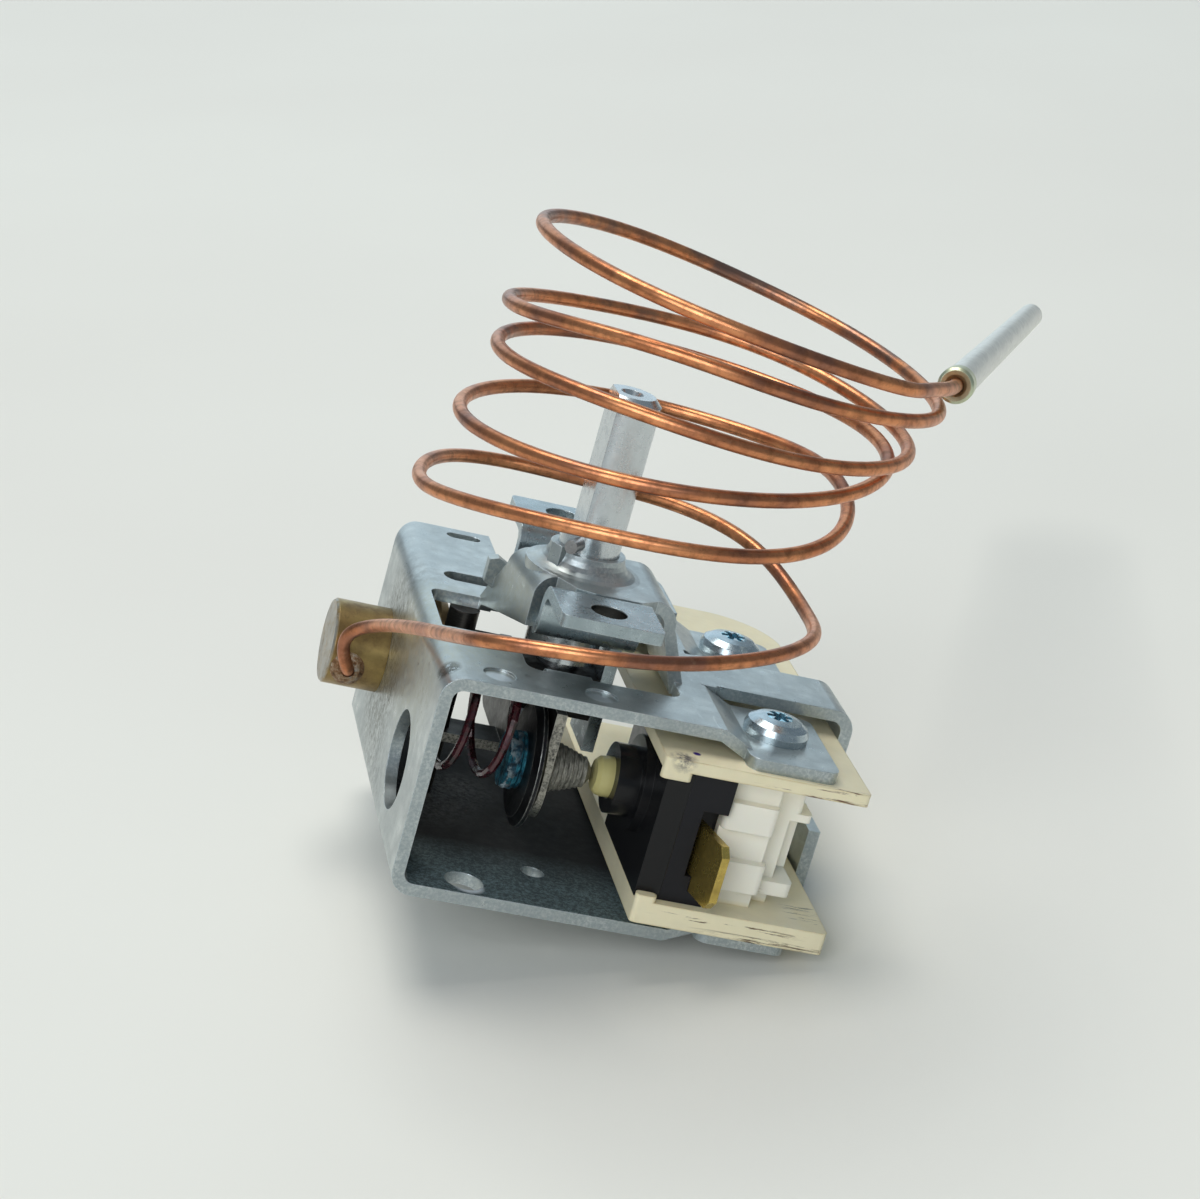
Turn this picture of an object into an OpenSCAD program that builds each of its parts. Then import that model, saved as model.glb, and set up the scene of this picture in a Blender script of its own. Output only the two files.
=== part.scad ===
// Capillary oven control: folded frame, spindle, rocker, snap switch, coiled tube and bulb.
// Millimetres. Z runs up along the spindle, X along the frame from the capsule to the switch,
// and Y away from the viewer. The origin is on the spindle axis in the face of the mounting ears.

/* [Frame] */
// Thickness of the frame sheet
sheet = 1.2; // [1.0:0.05:1.4]
// Left outer face of the frame, in X
frame_left = -13.6; // [-14.6:0.1:-13.4]
// Front edge of the frame, in Y
frame_front = -16.4; // [-17.4:0.1:-16]
// Rear edge of the frame, in Y
frame_rear = 28.4; // [27:0.1:31]
// Upper face of the top plate, in Z
frame_top = -8.1; // [-8.4:0.1:-7.9]
// Lower face of the bottom plate, in Z
frame_bottom = -29.9; // [-31:0.1:-29.6]
// Right edge of the two main plates, in X
plate_right = 14.6; // [14.2:0.1:15]
// Outer bend radius of the frame
bend_r = 2.2; // [1.8:0.1:2.6]
// Upper face of the raised bridge around the spindle, in Z
deck_top = -0.6; // [-0.9:0.1:-0.4]
// Radius of the access hole in the left wall
wall_hole_r = 4.8; // [4:0.1:5.2]
// Upper face of the stepped ears that hold the switch, in Z
ear_top = -9.5; // [-9.9:0.1:-9.3]
// Outer edge of the stepped ears, in X
ear_right = 24.4; // [23.5:0.1:25]

/* [Mounting strap] */
// Distance between the two mounting holes
ear_hole_spacing = 28; // [27:0.1:29]
// Radius of the tapped mounting holes
ear_hole_r = 1.75; // [1.6:0.05:2.1]
// Width of the mounting ears
ear_w = 9.7; // [9:0.1:11]
// Metal beyond the centre of each mounting hole
ear_margin = 3.3; // [2.9:0.1:4]
// Inner face of each riser, from the spindle axis
riser_y = 7.9; // [7.8:0.05:8.2]
// Depth of the strap below the ear face
strap_drop = 4.4; // [4.2:0.1:4.8]

/* [Spindle] */
// Spindle radius
spindle_r = 3; // [2.8:0.05:3]
// Top end of the spindle, in Z
spindle_top = 17; // [14:0.5:26]
// Distance from the axis to the flat
flat_offset = 1.6; // [1.2:0.05:2.2]
// Radial clearance of the spindle in its bush
spindle_gap = 0.04; // [0.02:0.01:0.08]
// Top radius of the drawn collar round the spindle
collar_r = 3.65; // [3.5:0.05:3.9]
// Radius of the threaded nose of the spindle
nose_r = 2; // [1.8:0.05:2.2]
// Radius of the cross pin that limits the turn
pin_r = 0.65; // [0.5:0.05:0.7]
// Half width of the square setting nut
nut_half = 3.8; // [3.4:0.05:3.8]

/* [Rocker] */
// Pivot pin position, in X
pivot_x = -8.5; // [-8.7:0.1:-8.3]
// Pivot pin position, in Y
pivot_y = 7.2; // [7.0:0.1:7.3]
// Pivot pin radius
pivot_r = 1.5; // [1.2:0.05:1.5]
// Radial clearance on the pivot pin
pivot_gap = 0.05; // [0.03:0.01:0.08]
// Left face of the rocker web, in X
web_x = -1.9; // [-2.0:0.05:-1.8]
// Thickness of the rocker sheet
web_t = 1.0; // [0.8:0.05:1.1]
// Radius of the adjusting screw
screw_r = 2.6; // [2.4:0.05:2.7]
// Radius of the dished spring seat
seat_r = 6.2; // [5.6:0.1:6.3]

/* [Switch line] */
// Axis of the plunger and adjusting screw, in Y
line_y = -10; // [-10.2:0.1:-9.9]
// Axis of the plunger and adjusting screw, in Z
line_z = -17.2; // [-17.4:0.1:-17]
// Left end of the plunger, in X
plunger_tip = 3.9; // [3.85:0.05:4.2]
// Plunger radius
plunger_r = 1.95; // [1.7:0.05:2.1]
// Radial clearance of the plunger in its boss
plunger_gap = 0.06; // [0.03:0.01:0.08]

/* [Return spring] */
// Mean radius of the return spring
spring_r = 4.2; // [3.8:0.1:4.4]
// Wire radius of the return spring
spring_wire = 0.42; // [0.35:0.01:0.5]
// Axis of the return spring, in Z
spring_z = -14.8; // [-14.9:0.1:-14.6]
// Turns of the return spring
spring_turns = 2.1; // [1.9:0.05:2.1]

/* [Switch block] */
// Left edge of the upper carrier plate, in X
carrier_left = 7.6; // [7.4:0.1:8]
// Right edge of the carrier plates, in X
carrier_right = 27.6; // [27:0.1:28]
// Front edge of the carrier plates, in Y
carrier_front = -19.2; // [-19.6:0.1:-19]
// Rear edge of the carrier plates, in Y
carrier_rear = 26.3; // [25:0.1:27]
// Thickness of the upper carrier plate
carrier_upper_t = 1.2; // [1:0.1:1.4]
// Thickness of the lower carrier plate
carrier_lower_t = 2.2; // [2:0.1:2.4]
// Left face of the switch housing, in X
switch_left = 8.6; // [8.5:0.05:8.8]
// Parting plane of the two housing shells, in X
switch_split = 11; // [10.8:0.05:11.2]
// Right face of the switch housing, in X
switch_right = 15.2; // [15.1:0.05:15.4]
// Front face of the switch housing, in Y
switch_front = -18.1; // [-18.4:0.05:-18]
// Rear face of the switch housing, in Y
switch_rear = -1.9; // [-2.2:0.05:-1.7]
// Width of the blade terminals
blade_w = 6.3; // [5.8:0.1:6.3]
// Thickness of the blade terminals
blade_t = 0.8; // [0.6:0.05:0.8]
// Outward lean of the front blade, in degrees
blade_lean = 14; // [10:1:16]

/* [Capsule] */
// Capsule axis, in Y
capsule_y = 16.7; // [16.6:0.1:17]
// Capsule axis, in Z
capsule_z = -18.6; // [-18.8:0.1:-18.4]
// Radius of the brass head outside the frame
head_r = 4.3; // [4.1:0.1:4.5]
// Length of the brass head outside the frame
head_len = 5.7; // [5.4:0.1:6]
// Largest radius of the capsule inside the frame
capsule_r = 7.2; // [6.8:0.1:7.4]
// Radius of the pin that pushes the rocker
push_r = 1.5; // [1.3:0.05:1.5]

/* [Capillary] */
// Outer radius of the capillary tube
tube_r = 0.65; // [0.5:0.05:0.7]
// Radius of the sensing bulb
bulb_r = 1.5; // [1.4:0.05:1.6]
// Length of the sensing bulb
bulb_len = 120; // [80:5:160]

/* [Hidden] */

eps = 0.01;
neck_r = head_r - 0.9;
through = 1;
inner_top = frame_top - sheet;
inner_bottom = frame_bottom + sheet;
frame_inner = frame_left + sheet;
carrier_top = ear_top - sheet;
upper_under = carrier_top - carrier_upper_t;
lower_step = 1.4;
lower_under = inner_bottom + lower_step;
lower_top = lower_under + carrier_lower_t;
ear_root = 13.0;
front_ear_y = [-18.4, -5.2];
rear_ear_y = [4.2, 15.2];
hook_y = [-4.6, 3.4];
hook_gap = 0.35;
screw_y = [-11.3, 10.1];
screw_x = 19.4;
screw_core = 1.25;

ear_reach = ear_hole_spacing / 2 + ear_margin;
strap_top = -strap_drop;
strap_under = strap_top - sheet;
deck_under = deck_top - sheet;
collar_top = deck_top + 1.9;
flare_r = 5.6;
right_leg_x = 6.4;
spigot_r = spindle_r + 0.45;
bush_flange = spigot_r + 0.4;
bush_end = strap_under - 0.5;
shoulder = bush_end - 0.05;
pin_z = deck_top + 2.8;
pin_angle = 236;
pin_reach = 4.7;
lug_angle = 213;
lug_half = 0.75;
lug_reach = 4.3;
lug_top = pin_z - pin_r + 0.25;
leg_lean = 9;
leg_bend = 2.0;
leg_x = -3.2;
leg_y = -4.8;
leg_rear = 3.2;
strap_bend = 2.4;
foot_bend = 2.0;

bridge_window = [-5.0, 10.1, -10.2, riser_y + 0.9];
bar_y = [riser_y - 0.3, riser_y + 3.45];
slot_y = bar_y[1] + 2.65;
notch_left = -3.6;
ear_hole_gap = 0.3;

guide_gap = 0.05;
guide_x = nut_half + guide_gap;
nut_top = -10.4;
nut_bottom = -14.6;

web_nose = 3.5;
web_tail = 4.0;
flange_z = [capsule_z - web_tail, line_z + 4.2];
flange_y = [pivot_y - 2.2, pivot_y + 2.1];
seat_x = web_x - 1.4;
cavity_y = [-14.0, -3.3];
cavity_right = switch_right - 0.8;
cavity_left = switch_left + 1.3;
cavity_z = [-23.9, upper_under - 1.3];
arm_x = 13.5;
moving_x = 11.9;
contact_y = line_y - 2.6;
contact_r = 0.8;
strip_t = 0.3;
blade_z = line_z - 3.4;
blade_root = -15.2;
notch_z = [-22.3, -15.7];
notch_x = 12.8;
core_right = 20.3;

// Shapes that repeat

module bar_x(x0, x1, y, z, r) {
    translate([x0, y, z]) rotate([0, 90, 0]) cylinder(h = x1 - x0, r = r, $fn = 64);
}

module bar_z(x, y, z0, z1, r) {
    translate([x, y, z0]) cylinder(h = z1 - z0, r = r, $fn = 64);
}

module block(x0, x1, y0, y1, z0, z1) {
    translate([x0, y0, z0]) cube([x1 - x0, y1 - y0, z1 - z0]);
}

// Flat shape with rounded corners, given by its edges
module round_rect(x0, x1, y0, y1, r) {
    translate([x0 + r, y0]) square([x1 - x0 - 2 * r, y1 - y0]);
    translate([x0, y0 + r]) square([x1 - x0, y1 - y0 - 2 * r]);
    for (x = [x0 + r, x1 - r]) {
        for (y = [y0 + r, y1 - r]) {
            translate([x, y]) circle(r = r, $fn = 48);
        }
    }
}

module slab(x0, x1, y0, y1, z0, z1, r) {
    translate([0, 0, z0]) linear_extrude(z1 - z0) round_rect(x0, x1, y0, y1, r);
}

// Opening through a plate
module window(x0, x1, y0, y1, z, r) {
    slab(x0, x1, y0, y1, z - sheet - through, z + through, r);
}

// Profile in X and Z drawn out along Y
module drawn_y(y0, y1) {
    translate([0, y1, 0]) rotate([90, 0, 0]) linear_extrude(y1 - y0) children();
}

// Profile in Y and Z drawn out along X
module drawn_x(x0, x1) {
    translate([x0, 0, 0]) rotate([90, 0, 90]) linear_extrude(x1 - x0) children();
}

// Quarter ring of sheet; sx and sy choose the quadrant
module sheet_bend(x, y, r, sx, sy) {
    translate([x, y]) intersection() {
        difference() {
            circle(r = r, $fn = 64);
            circle(r = r - sheet, $fn = 64);
        }
        translate([sx < 0 ? -r : 0, sy < 0 ? -r : 0]) square(r);
    }
}

// Frame

// Hollow curve of the collar, from the bridge up to its rim
flare = [for (a = [0:15:90])
    [flare_r - (flare_r - collar_r) * sin(a), collar_top - (collar_top - deck_top) * cos(a)]];

module left_rounded(x0, x1, z0, z1, r) {
    translate([x0 + r, z0]) square([x1 - x0 - r, z1 - z0]);
    translate([x0, z0 + r]) square([r, z1 - z0 - 2 * r]);
    for (z = [z0 + r, z1 - r]) {
        translate([x0 + r, z]) circle(r = r, $fn = 64);
    }
}

module folded_shell() {
    drawn_y(frame_front, frame_rear) difference() {
        left_rounded(frame_left, plate_right, frame_bottom, frame_top, bend_r);
        left_rounded(frame_inner, plate_right + through, inner_bottom, inner_top, bend_r - sheet);
    }
}

// Cutter that leaves a vertical corner round; sx and sy point into the part
module corner_cut(x, y, r, sx, sy) {
    translate([x, y, frame_bottom - through]) linear_extrude(frame_top - frame_bottom + 2 * through) {
        difference() {
            translate([sx < 0 ? -r : -eps, sy < 0 ? -r : -eps]) square(r + eps);
            translate([sx * r, sy * r]) circle(r = r, $fn = 64);
        }
    }
}

module top_openings() {
    // Under the bridge, with the front window and the window beside the left wall
    window(bridge_window[0], bridge_window[1], bridge_window[2], bridge_window[3], frame_top, 1.4);
    window(frame_inner + 0.2, bridge_window[0] + 1, -2.85, bar_y[0], frame_top, 0.6);
    window(bridge_window[0] - 0.9, bridge_window[0] + 2, bar_y[0] - 3, bridge_window[3], frame_top, 0.6);
    // Slot that opens into the rear notch, and the notch
    window(-10.3, notch_left + 1, bar_y[1], slot_y, frame_top, 1.3);
    window(notch_left, 8.0, bar_y[1], frame_rear + 4, frame_top, 1.0);
    // Short slot at the rear
    window(-8.4, -4.8, frame_rear - 3, frame_rear - 1.4, frame_top, 0.79);
    // Round dimples
    bar_z(-8.1, -13.4, frame_top - 0.25, frame_top + through, 1.55);
    bar_z(1.6, -13.7, frame_top - 0.25, frame_top + through, 1.55);
}

module bottom_openings() {
    bar_z(-6.2, -13.6, frame_bottom - through, inner_bottom + through, 1.86);
    bar_z(1.2, -8.6, frame_bottom - through, inner_bottom + through, 1.1);
}

module wall_openings() {
    bar_x(frame_left - through, frame_inner + through, -5.2, -21.3, wall_hole_r);
    bar_x(frame_left - through, frame_inner + through, capsule_y, capsule_z, neck_r + 0.02);
}

// Left leg of the bridge, leaning out to the rear and trimmed to a slanting strip
module left_leg() {
    drop = deck_top - leg_bend - inner_top;
    foot = bar_y[0] - 0.2;
    intersection() {
        translate([leg_x, leg_y, 0]) rotate([0, 0, leg_lean]) drawn_y(0, 18) {
            sheet_bend(0, deck_top - leg_bend, leg_bend, -1, 1);
            translate([-leg_bend, inner_top]) square([sheet, drop]);
        }
        drawn_x(-14, 0) polygon([[leg_y - 1, deck_top + 1], [leg_rear - 0.4, deck_top + 1],
            [leg_rear, -2.6], [4.5, -4.2], [6.3, -6.0], [foot + 0.6, frame_top], [foot + 1.8, frame_top],
            [foot + 1.8, inner_top], [foot, inner_top], [foot - 0.4, frame_top - 0.5], [1.7, -7.3],
            [leg_y - 1, -5.6]]);
    }
}

// Flap left by the shear behind the left leg
module leg_flap() {
    drawn_y(5.4, 5.4 + sheet) polygon([[-7.8, -5.7], [-7.8, -3.4], [-6.9, -3.1], [-5.8, -3.7], [-5.7, -6.0],
        [-6.6, -6.4]]);
}

module right_leg() {
    bend = 2.4;
    x = right_leg_x;
    drawn_y(-6, 5.4) {
        sheet_bend(x, deck_top - bend, bend, 1, 1);
        polygon([[x + bend, deck_top - bend], [x + bend - sheet, deck_top - bend],
            [x + bend + 1.1, inner_top], [x + bend + 2.8, inner_top], [x + bend + 2.8, frame_top],
            [x + bend + 2.1, frame_top]]);
    }
}

module deck() {
    translate([0, 0, deck_under]) linear_extrude(sheet) {
        circle(r = flare_r, $fn = 96);
        polygon([[leg_x, leg_y], [-1.8, -7.0], [0, -7.5], [4.6, -7.5], [right_leg_x, -6],
            [right_leg_x, 5.4], [2, 5.2], [leg_x - (leg_rear - leg_y) * tan(leg_lean), leg_rear]]);
    }
}

module spindle_collar() {
    bore = spindle_r + spindle_gap;
    foot = [[bore, deck_under], [flare_r - 0.2, deck_under], [flare_r, deck_top]];
    rotate_extrude($fn = 96) polygon(concat(foot, flare, [[bore, collar_top]]));
}

module bridge() {
    difference() {
        union() {
            deck();
            left_leg();
            leg_flap();
            right_leg();
        }
        bar_z(0, 0, deck_under - through, deck_top + through, flare_r - 0.6);
    }
    spindle_collar();
    // Lug that stops the cross pin
    rotate([0, 0, lug_angle]) block(collar_r - 0.1, lug_reach, -lug_half, lug_half, deck_under, lug_top);
}

// Switch ear, stepped from a plate whose upper face is z_plate to an upper face at z_ear
module switch_ear(y, z_plate, z_ear) {
    slab(ear_root + 2.6, ear_right, y[0], y[1], z_ear - sheet, z_ear, 1.2);
    drawn_y(max(y[0], frame_front), y[1]) polygon([[ear_root - 0.2, z_plate - sheet],
        [ear_root - 0.2, z_plate], [ear_root + 0.3, z_plate], [ear_root + 3.2, z_ear], [ear_root + 4, z_ear],
        [ear_root + 4, z_ear - sheet], [ear_root + 2.9, z_ear - sheet], [ear_root, z_plate - sheet]]);
}

// Hook strip beside the carrier; dir is 1 for a hook bent up and -1 for one bent down
module hook(z0, z_end, dir) {
    z1 = z0 + sheet;
    x_out = carrier_right + hook_gap + sheet;
    zc = dir > 0 ? z0 + bend_r : z1 - bend_r;
    drawn_y(hook_y[0], hook_y[1]) {
        translate([plate_right - 0.5, z0]) square([x_out - bend_r - plate_right + 0.5, sheet]);
        sheet_bend(x_out - bend_r, zc, bend_r, 1, -dir);
        translate([x_out - sheet, min(zc, z_end)]) square([sheet, abs(zc - z_end)]);
    }
}

// Lip on the front window, standing into it and rolled down at its edge
module window_lip() {
    lip_bend = 1.4;
    y = bridge_window[2];
    drawn_x(-3.1, 1.3) {
        translate([y - 0.3, inner_top]) square([0.9, sheet]);
        sheet_bend(y + 0.6, frame_top - lip_bend, lip_bend, 1, 1);
    }
}

module frame() {
    color("silver") {
        difference() {
            folded_shell();
            top_openings();
            bottom_openings();
            wall_openings();
            for (y = [front_ear_y, rear_ear_y]) {
                for (z = [frame_top, inner_bottom]) {
                    block(ear_root, plate_right + through, y[0] - 1, y[1] + 0.2,
                        z - sheet - through, z + through);
                }
            }
            corner_cut(frame_left, frame_rear, 3.0, 1, -1);
            corner_cut(plate_right, frame_rear, 5.0, -1, -1);
        }
        bridge();
        difference() {
            for (y = [front_ear_y, rear_ear_y]) {
                switch_ear(y, frame_top, ear_top);
                switch_ear(y, inner_bottom, lower_under);
            }
            for (y = screw_y) {
                bar_z(screw_x, y, carrier_top - through, ear_top + through, screw_core + ear_hole_gap);
            }
        }
        hook(inner_top, -12.4, -1);
        hook(frame_bottom, -20.8, 1);
        // Flange folded down beside the notch
        block(notch_left - sheet, notch_left, slot_y + 0.6, slot_y + 8.4, frame_top - 3.4, inner_top);
        window_lip();
    }
}

// Riser with its bends to the ear above and the plate below; s is -1 in front and 1 behind
module riser_profile(s) {
    r = [s * riser_y, s * (riser_y + sheet)];
    sheet_bend(s * (riser_y + strap_bend), -strap_bend, strap_bend, -s, 1);
    translate([min(r), strap_under + foot_bend - eps])
        square([sheet, -strap_bend - strap_under - foot_bend + 2 * eps]);
    sheet_bend(s * (riser_y + sheet - foot_bend), strap_under + foot_bend, foot_bend, s, -1);
}

// Mounting strap: two tapped ears on risers, clamped under the bridge
module mounting_strap() {
    w = ear_w / 2;
    narrow = 3.7;
    plate_end = riser_y + sheet - foot_bend + eps;
    ear_start = riser_y + strap_bend;
    color("silver") difference() {
        union() {
            for (s = [-1, 1]) {
                y = [s * ear_start, s * ear_reach];
                slab(-w, w, min(y), max(y), -sheet, 0, 0.6);
                r = [s * (ear_start - eps), s * (ear_start + 1)];
                block(-w, w, min(r), max(r), -sheet, 0);
                drawn_x(-w, w) riser_profile(s);
            }
            block(-narrow, narrow, -plate_end, plate_end, strap_under, strap_top);
            block(-4.05, guide_x + sheet, -3.4, 3.4, strap_under, strap_top);
            // Tab that keeps the setting nut from turning
            block(guide_x, guide_x + sheet, -3.4, 3.4, nut_bottom - 3, strap_top);
        }
        for (s = [-1, 1]) {
            bar_z(0, s * ear_hole_spacing / 2, -sheet - through, through, ear_hole_r);
        }
        bar_z(0, 0, strap_under - through, strap_top + through, spigot_r);
    }
}

module spindle_bush() {
    bore = spindle_r + spindle_gap;
    lip = spigot_r + 0.5;
    color("darkgray") rotate_extrude($fn = 96) polygon([[bore, bush_end], [lip, bush_end],
        [lip, strap_under], [spigot_r, strap_under], [spigot_r, strap_top], [bush_flange, strap_top],
        [bush_flange, deck_under], [bore, deck_under]]);
}

// Spindle with its flat, shoulder under the bush and threaded nose
module spindle() {
    shoulder_r = spindle_r + 0.6;
    shoulder_end = -9.4;
    nose_end = -16;
    color("lightgray") difference() {
        rotate_extrude($fn = 96) polygon([[0, nose_end], [nose_r - 0.5, nose_end],
            [nose_r, nose_end + 0.5], [nose_r, shoulder_end], [shoulder_r, shoulder_end],
            [shoulder_r, shoulder], [spindle_r, shoulder], [spindle_r, spindle_top - 0.7],
            [spindle_r - 0.7, spindle_top], [1.1, spindle_top], [0.8, spindle_top - 0.5],
            [0, spindle_top - 0.7]]);
        block(-spindle_r - 1, -flat_offset, -5, 5, pin_z + pin_r + 0.2, spindle_top + 1);
        rotate([0, 0, pin_angle]) bar_x(-2, pin_reach + 1, 0, pin_z, pin_r);
    }
}

module stop_pin() {
    color("gray") rotate([0, 0, pin_angle]) bar_x(-2, pin_reach, 0, pin_z, pin_r);
}

module setting_nut() {
    color("khaki") difference() {
        block(-nut_half, nut_half, -3.2, 3.2, nut_bottom, nut_top);
        bar_z(0, 0, nut_bottom - through, nut_top + through, nose_r + 0.06);
    }
}

// Rocker: web beside the spindle with two flanges on the pivot pin
module web_profile() {
    nose_z = line_z - 1.6;
    translate([line_y, nose_z]) circle(r = web_nose, $fn = 64);
    translate([line_y - web_nose, nose_z]) square([2 * web_nose, 2.3 * web_nose]);
    translate([line_y, nose_z - web_nose]) square([pivot_y - line_y, 1.6 * web_nose]);
    translate([flange_y[0], flange_z[0]]) square([capsule_y - flange_y[0], 2 * web_tail]);
    translate([flange_y[0], flange_z[0]])
        square([flange_y[1] - flange_y[0], flange_z[1] - flange_z[0] + web_t]);
    translate([capsule_y, flange_z[0] + web_tail]) circle(r = web_tail, $fn = 64);
}

module rocker() {
    arm = 2.1;
    color("gray") difference() {
        union() {
            drawn_x(web_x, web_x + web_t) web_profile();
            for (z = flange_z) {
                slab(pivot_x - arm, web_x + web_t / 2, flange_y[0], flange_y[1], z, z + web_t, arm);
                block(web_x - 2.5, web_x + web_t / 2, flange_y[0], flange_y[1], z, z + web_t);
            }
        }
        bar_z(pivot_x, pivot_y, -30, -5, pivot_r + pivot_gap);
        bar_x(web_x - through, web_x + web_t + through, line_y, line_z, screw_r);
    }
}

module pivot_pin() {
    color("lightgray") bar_z(pivot_x, pivot_y, inner_bottom, inner_top, pivot_r);
}

// One ring groove of a thread, as points of a turned profile
function groove(r, x, pitch) = [[r, x], [r, x + 0.5 * pitch], [r - 0.2, x + 0.75 * pitch]];

// Screw with ring grooves for its fine thread and a tapered nose
module adjusting_screw() {
    pitch = 0.5;
    left = [for (i = [0:1:5]) each groove(screw_r + 0.1, -4.95 + i * pitch, pitch)];
    nose = [for (i = [0:1:7]) each groove(screw_r - i * 0.16, -0.85 + i * pitch, pitch)];
    color("slategray") translate([0, line_y, line_z]) rotate([0, 90, 0]) rotate_extrude($fn = 64)
        polygon(concat([[0, -5.0], [2.4, -5.0]], left, [[screw_r, web_x - 0.02], [screw_r, -0.87]], nose,
            [[1.0, 3.25], [0.6, 3.5], [0, 3.5]]));
}

module spring_seat() {
    bore = screw_r + 0.12;
    color("gray") translate([0, line_y, line_z]) rotate([0, 90, 0]) rotate_extrude($fn = 96)
        polygon([[bore, seat_x], [seat_r - 0.8, seat_x], [seat_r, seat_x + 0.5], [seat_r, seat_x + 0.9],
            [seat_r - 0.5, seat_x + 0.9], [seat_r - 1.2, web_x], [bore, web_x]]);
}

// Round wire swept along listed points, with the ring carried along without twist
function unit(v) = v / norm(v);
function across(v, t) = unit(v - (v * t) * t);
function tangents(p) = [for (i = [0:1:len(p) - 1]) unit(p[min(i + 1, len(p) - 1)] - p[max(i - 1, 0)])];
function carried(t, n0) = [for (i = 0, n = across(n0, t[0]); i < len(t);
    i = i + 1, n = across(n, t[min(i, len(t) - 1)])) n];
function ring(p, t, n, r, k) = [for (j = [0:1:k - 1])
    p + r * (cos(360 * j / k) * n + sin(360 * j / k) * cross(t, n))];

module swept(pts, r, k, n0) {
    m = len(pts);
    t = tangents(pts);
    n = carried(t, n0);
    verts = [for (i = [0:1:m - 1]) each ring(pts[i], t[i], n[i], r, k)];
    sides = [for (i = [0:1:m - 2]) for (j = [0:1:k - 1])
        [i * k + j, (i + 1) * k + j, (i + 1) * k + (j + 1) % k, i * k + (j + 1) % k]];
    near = [[for (j = [0:1:k - 1]) j]];
    far = [[for (j = [0:1:k - 1]) m * k - 1 - j]];
    polyhedron(points = verts, faces = concat(sides, near, far), convexity = 12);
}

// Left-handed coil from the wall to the seat
module return_spring() {
    x0 = frame_inner + spring_wire;
    x1 = seat_x - spring_wire;
    steps = round(spring_turns * 20);
    pts = [for (i = [0:1:steps]) let(a = 180 + 360 * spring_turns * i / steps)
        [x0 + (x1 - x0) * i / steps, line_y - spring_r * cos(a), spring_z + spring_r * sin(a)]];
    color("darkred") swept(pts, spring_wire, 8, [1, 0, 0]);
}

// Moulded carrier: two plates joined by a stepped core, with corner noses around the switch
module carrier_plate(x0, z0, z1) {
    cut = 7;
    translate([0, 0, z0]) linear_extrude(z1 - z0) difference() {
        round_rect(x0, carrier_right, carrier_front, carrier_rear, 0.5);
        translate([carrier_right, carrier_rear]) difference() {
            translate([-cut, -cut]) square(cut + 1);
            translate([-cut, -cut]) circle(r = cut, $fn = 64);
        }
    }
}

// Lip in front of the switch at the corner of a plate
module carrier_nose(x0, x1, z0, z1) {
    slab(x0, x1, carrier_front, switch_front - 0.02, z0, z1, 0.5);
}

module carrier_core() {
    top = upper_under + eps;
    bottom = lower_top - eps;
    block(switch_right, core_right, -16.2, 16, bottom, top);
    slab(switch_right, core_right, -17.2, -15.6, -17.4, -14.6, 0.7);
    slab(switch_right, core_right + 0.3, -17.2, -15.6, -23.4, -20.4, 0.7);
    block(core_right - eps, 23.8, -12.4, 12, -21.9, top);
    slab(core_right - 1, 24.5, -14.2, -10.6, -16.5, -15.7, 0.6);
    slab(core_right - 1, 23.4, -14.2, -10.6, -15.8, -13.7, 0.6);
    slab(core_right - 1, 24.3, -15.2, -10.6, -23.9, -22.5, 0.8);
    block(core_right - eps, 22.4, -14.2, -12.3, bottom, -16);
}

module switch_carrier() {
    color("ivory") difference() {
        union() {
            carrier_plate(carrier_left, upper_under, carrier_top);
            carrier_plate(carrier_left + 1.0, lower_under, lower_top);
            carrier_core();
            carrier_nose(carrier_left, carrier_left + 2.9, upper_under - 0.9, carrier_top);
            carrier_nose(carrier_left + 1.0, carrier_left + 3.0, lower_under, lower_top + 0.6);
        }
        for (y = screw_y) {
            bar_z(screw_x, y, upper_under - 6, carrier_top + through, screw_core);
        }
    }
}

// Switch housing: two black shells round the contact space
module contact_space(x0, x1) {
    block(x0, x1, cavity_y[0], cavity_y[1], cavity_z[0], cavity_z[1]);
}

module switch_cover() {
    color("dimgray") difference() {
        union() {
            block(switch_left, switch_split, switch_front, switch_rear, lower_top, upper_under);
            bar_x(switch_left - 0.9, switch_left + eps, line_y, line_z, 4.6);
            bar_x(switch_left - 3.1, switch_left + eps, line_y, line_z, 3.4);
        }
        contact_space(cavity_left, switch_split + through);
        bar_x(switch_left - 4, switch_split + 1, line_y, line_z, plunger_r + plunger_gap);
    }
}

module switch_housing() {
    color("dimgray") difference() {
        block(switch_split, switch_right, switch_front, switch_rear, lower_top, upper_under);
        contact_space(switch_split - through, cavity_right);
        block(notch_x, switch_right + through, switch_front - through, blade_root, notch_z[0], notch_z[1]);
        front_blade(0.04);
        block(arm_x - 0.04, arm_x + blade_t + 0.04, cavity_y[1] - 1, switch_rear + 1,
            blade_z - blade_w / 2 - 0.04, blade_z + blade_w / 2 + 0.04);
    }
}

module plunger() {
    inner_end = moving_x - 0.05;
    color("cornsilk") translate([0, line_y, line_z]) rotate([0, 90, 0]) rotate_extrude($fn = 64)
        polygon([[0, plunger_tip], [plunger_r - 0.5, plunger_tip], [plunger_r - 0.1, plunger_tip + 0.4],
            [plunger_r, plunger_tip + 1.1], [plunger_r, 10.9], [1.0, 10.9], [0.9, inner_end - 0.4],
            [0.4, inner_end], [0, inner_end]]);
}

// Sprung contact blade with its button
module contact_blade() {
    color("goldenrod") {
        block(moving_x, moving_x + strip_t, contact_y - 0.6, cavity_y[1] - 0.7, line_z - 1.4, line_z + 1.4);
        bar_x(moving_x + strip_t - eps, moving_x + strip_t + 0.2, contact_y, line_z, contact_r);
    }
}

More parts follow.
